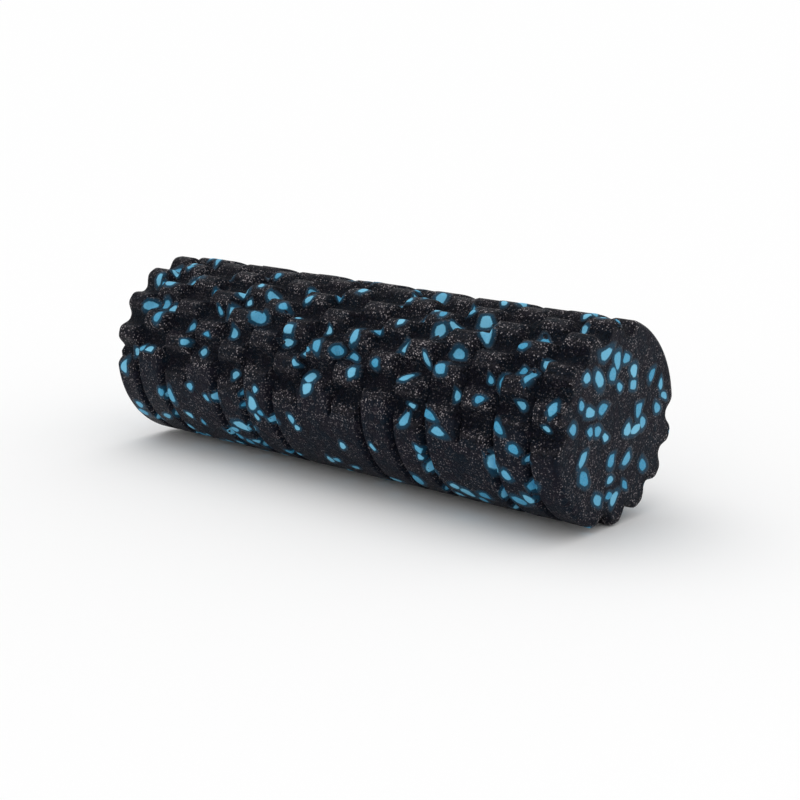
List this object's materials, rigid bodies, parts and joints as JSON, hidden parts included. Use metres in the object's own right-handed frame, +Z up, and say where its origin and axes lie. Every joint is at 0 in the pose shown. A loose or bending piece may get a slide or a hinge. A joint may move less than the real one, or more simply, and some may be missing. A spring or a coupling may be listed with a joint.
{
  "type": "foam roller",
  "caption": "Solid cylindrical massage roller of moulded bead foam, with raised bumps on two sides, grooved smooth sides between them, and coloured beads set in the foam.",
  "frame": {"origin": "under the middle of the roller, on the surface that it lies on", "axes": "+X along the roller's axis, +Z up, -Y towards the side that is seen first, with the roller lying on its side"},
  "size_m": [0.3, 0.1, 0.1],
  "materials": {
    "foam_black": "matt moulded bead foam with a fine pebbled skin",
    "beads_blue": "matt moulded bead foam, cyan blue"
  },
  "bodies": {
    "root": {"foam_body": "foam_black", "blue_beads_front_side": "beads_blue", "blue_beads_back_side": "beads_blue", "blue_beads_upper_bumps": "beads_blue", "blue_beads_lower_bumps": "beads_blue", "blue_beads_left_end": "beads_blue", "blue_beads_right_end": "beads_blue"}
  },
  "joints": []
}
